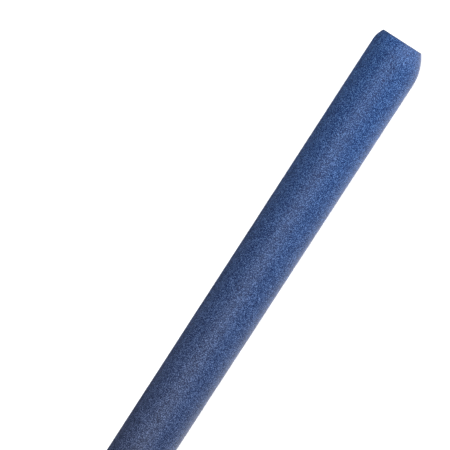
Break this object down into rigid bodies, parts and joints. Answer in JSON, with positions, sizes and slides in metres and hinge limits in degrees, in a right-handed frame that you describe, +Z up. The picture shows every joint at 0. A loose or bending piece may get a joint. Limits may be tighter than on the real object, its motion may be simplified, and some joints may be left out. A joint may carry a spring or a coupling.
{
  "type": "pool noodle",
  "caption": "Round foam pool noodle with a hollow core and drawn-in cut ends. It flexes sideways along its whole length and springs back.",
  "frame": {"origin": "on the surface that the noodle lies on, under the middle of its length", "axes": "+X along the noodle towards the end that the picture shows, +Z up, -Y the side on which the cut ends are drawn in most"},
  "size_m": [1.6, 0.07, 0.07],
  "materials": {
    "foam": "blue closed-cell polyethylene foam with a fine pebbled skin"
  },
  "bodies": {
    "length_01": {"foam_length_01": "foam", "bend_zone_01": "foam"},
    "length_02": {"foam_length_02": "foam", "bend_zone_02": "foam"},
    "length_03": {"foam_length_03": "foam", "bend_zone_03": "foam"},
    "length_04": {"foam_length_04": "foam"},
    "length_05": {"foam_length_05": "foam", "bend_zone_04": "foam"},
    "length_06": {"foam_length_06": "foam", "bend_zone_05": "foam"},
    "length_07": {"foam_length_07": "foam", "bend_zone_06": "foam"},
    "length_08": {"foam_length_08": "foam", "bend_zone_07": "foam"},
    "length_09": {"foam_length_09": "foam", "bend_zone_08": "foam"},
    "length_10": {"foam_length_10": "foam", "bend_zone_09": "foam"},
    "length_11": {"foam_length_11": "foam", "bend_zone_10": "foam"},
    "length_12": {"foam_length_12": "foam", "bend_zone_11": "foam"},
    "length_13": {"foam_length_13": "foam", "bend_zone_12": "foam"},
    "length_14": {"foam_length_14": "foam", "bend_zone_13": "foam"},
    "length_15": {"foam_length_15": "foam", "bend_zone_14": "foam"},
    "length_16": {"foam_length_16": "foam", "bend_zone_15": "foam"},
    "length_17": {"foam_length_17": "foam", "bend_zone_16": "foam"},
    "length_18": {"foam_length_18": "foam", "bend_zone_17": "foam"},
    "length_19": {"foam_length_19": "foam", "bend_zone_18": "foam"},
    "length_20": {"foam_length_20": "foam", "bend_zone_19": "foam"},
    "length_21": {"foam_length_21": "foam", "bend_zone_20": "foam"},
    "length_22": {"foam_length_22": "foam", "bend_zone_21": "foam"},
    "length_23": {"foam_length_23": "foam", "bend_zone_22": "foam"},
    "length_24": {"foam_length_24": "foam", "bend_zone_23": "foam"},
    "length_25": {"foam_length_25": "foam", "bend_zone_24": "foam"}
  },
  "joints": [
    {"name": "bend_01", "type": "hinge", "parent": "length_02", "child": "length_01", "pos_m": [0.736, 0, 0.035], "axis": [0, 0, 1], "range_deg": [-13.5, 13.5], "stiffness_Nm_per_rad": 22, "deforming": ["bend_zone_01"]},
    {"name": "bend_02", "type": "hinge", "parent": "length_03", "child": "length_02", "pos_m": [0.672, 0, 0.035], "axis": [0, 0, 1], "range_deg": [-13.5, 13.5], "stiffness_Nm_per_rad": 22, "deforming": ["bend_zone_02"]},
    {"name": "bend_03", "type": "hinge", "parent": "length_04", "child": "length_03", "pos_m": [0.608, 0, 0.035], "axis": [0, 0, 1], "range_deg": [-13.5, 13.5], "stiffness_Nm_per_rad": 22, "deforming": ["bend_zone_03"]},
    {"name": "bend_04", "type": "hinge", "parent": "length_04", "child": "length_05", "pos_m": [0.544, 0, 0.035], "axis": [0, 0, -1], "range_deg": [-13.5, 13.5], "stiffness_Nm_per_rad": 22, "deforming": ["bend_zone_04"]},
    {"name": "bend_05", "type": "hinge", "parent": "length_05", "child": "length_06", "pos_m": [0.48, 0, 0.035], "axis": [0, 0, -1], "range_deg": [-13.5, 13.5], "stiffness_Nm_per_rad": 22, "deforming": ["bend_zone_05"]},
    {"name": "bend_06", "type": "hinge", "parent": "length_06", "child": "length_07", "pos_m": [0.416, 0, 0.035], "axis": [0, 0, -1], "range_deg": [-13.5, 13.5], "stiffness_Nm_per_rad": 22, "deforming": ["bend_zone_06"]},
    {"name": "bend_07", "type": "hinge", "parent": "length_07", "child": "length_08", "pos_m": [0.352, 0, 0.035], "axis": [0, 0, -1], "range_deg": [-13.5, 13.5], "stiffness_Nm_per_rad": 22, "deforming": ["bend_zone_07"]},
    {"name": "bend_08", "type": "hinge", "parent": "length_08", "child": "length_09", "pos_m": [0.288, 0, 0.035], "axis": [0, 0, -1], "range_deg": [-13.5, 13.5], "stiffness_Nm_per_rad": 22, "deforming": ["bend_zone_08"]},
    {"name": "bend_09", "type": "hinge", "parent": "length_09", "child": "length_10", "pos_m": [0.224, 0, 0.035], "axis": [0, 0, -1], "range_deg": [-13.5, 13.5], "stiffness_Nm_per_rad": 22, "deforming": ["bend_zone_09"]},
    {"name": "bend_10", "type": "hinge", "parent": "length_10", "child": "length_11", "pos_m": [0.16, 0, 0.035], "axis": [0, 0, -1], "range_deg": [-13.5, 13.5], "stiffness_Nm_per_rad": 22, "deforming": ["bend_zone_10"]},
    {"name": "bend_11", "type": "hinge", "parent": "length_11", "child": "length_12", "pos_m": [0.096, 0, 0.035], "axis": [0, 0, -1], "range_deg": [-13.5, 13.5], "stiffness_Nm_per_rad": 22, "deforming": ["bend_zone_11"]},
    {"name": "bend_12", "type": "hinge", "parent": "length_12", "child": "length_13", "pos_m": [0.032, 0, 0.035], "axis": [0, 0, -1], "range_deg": [-13.5, 13.5], "stiffness_Nm_per_rad": 22, "deforming": ["bend_zone_12"]},
    {"name": "bend_13", "type": "hinge", "parent": "length_13", "child": "length_14", "pos_m": [-0.032, 0, 0.035], "axis": [0, 0, -1], "range_deg": [-13.5, 13.5], "stiffness_Nm_per_rad": 22, "deforming": ["bend_zone_13"]},
    {"name": "bend_14", "type": "hinge", "parent": "length_14", "child": "length_15", "pos_m": [-0.096, 0, 0.035], "axis": [0, 0, -1], "range_deg": [-13.5, 13.5], "stiffness_Nm_per_rad": 22, "deforming": ["bend_zone_14"]},
    {"name": "bend_15", "type": "hinge", "parent": "length_15", "child": "length_16", "pos_m": [-0.16, 0, 0.035], "axis": [0, 0, -1], "range_deg": [-13.5, 13.5], "stiffness_Nm_per_rad": 22, "deforming": ["bend_zone_15"]},
    {"name": "bend_16", "type": "hinge", "parent": "length_16", "child": "length_17", "pos_m": [-0.224, 0, 0.035], "axis": [0, 0, -1], "range_deg": [-13.5, 13.5], "stiffness_Nm_per_rad": 22, "deforming": ["bend_zone_16"]},
    {"name": "bend_17", "type": "hinge", "parent": "length_17", "child": "length_18", "pos_m": [-0.288, 0, 0.035], "axis": [0, 0, -1], "range_deg": [-13.5, 13.5], "stiffness_Nm_per_rad": 22, "deforming": ["bend_zone_17"]},
    {"name": "bend_18", "type": "hinge", "parent": "length_18", "child": "length_19", "pos_m": [-0.352, 0, 0.035], "axis": [0, 0, -1], "range_deg": [-13.5, 13.5], "stiffness_Nm_per_rad": 22, "deforming": ["bend_zone_18"]},
    {"name": "bend_19", "type": "hinge", "parent": "length_19", "child": "length_20", "pos_m": [-0.416, 0, 0.035], "axis": [0, 0, -1], "range_deg": [-13.5, 13.5], "stiffness_Nm_per_rad": 22, "deforming": ["bend_zone_19"]},
    {"name": "bend_20", "type": "hinge", "parent": "length_20", "child": "length_21", "pos_m": [-0.48, 0, 0.035], "axis": [0, 0, -1], "range_deg": [-13.5, 13.5], "stiffness_Nm_per_rad": 22, "deforming": ["bend_zone_20"]},
    {"name": "bend_21", "type": "hinge", "parent": "length_21", "child": "length_22", "pos_m": [-0.544, 0, 0.035], "axis": [0, 0, -1], "range_deg": [-13.5, 13.5], "stiffness_Nm_per_rad": 22, "deforming": ["bend_zone_21"]},
    {"name": "bend_22", "type": "hinge", "parent": "length_22", "child": "length_23", "pos_m": [-0.608, 0, 0.035], "axis": [0, 0, -1], "range_deg": [-13.5, 13.5], "stiffness_Nm_per_rad": 22, "deforming": ["bend_zone_22"]},
    {"name": "bend_23", "type": "hinge", "parent": "length_23", "child": "length_24", "pos_m": [-0.672, 0, 0.035], "axis": [0, 0, -1], "range_deg": [-13.5, 13.5], "stiffness_Nm_per_rad": 22, "deforming": ["bend_zone_23"]},
    {"name": "bend_24", "type": "hinge", "parent": "length_24", "child": "length_25", "pos_m": [-0.736, 0, 0.035], "axis": [0, 0, -1], "range_deg": [-13.5, 13.5], "stiffness_Nm_per_rad": 22, "deforming": ["bend_zone_24"]}
  ]
}
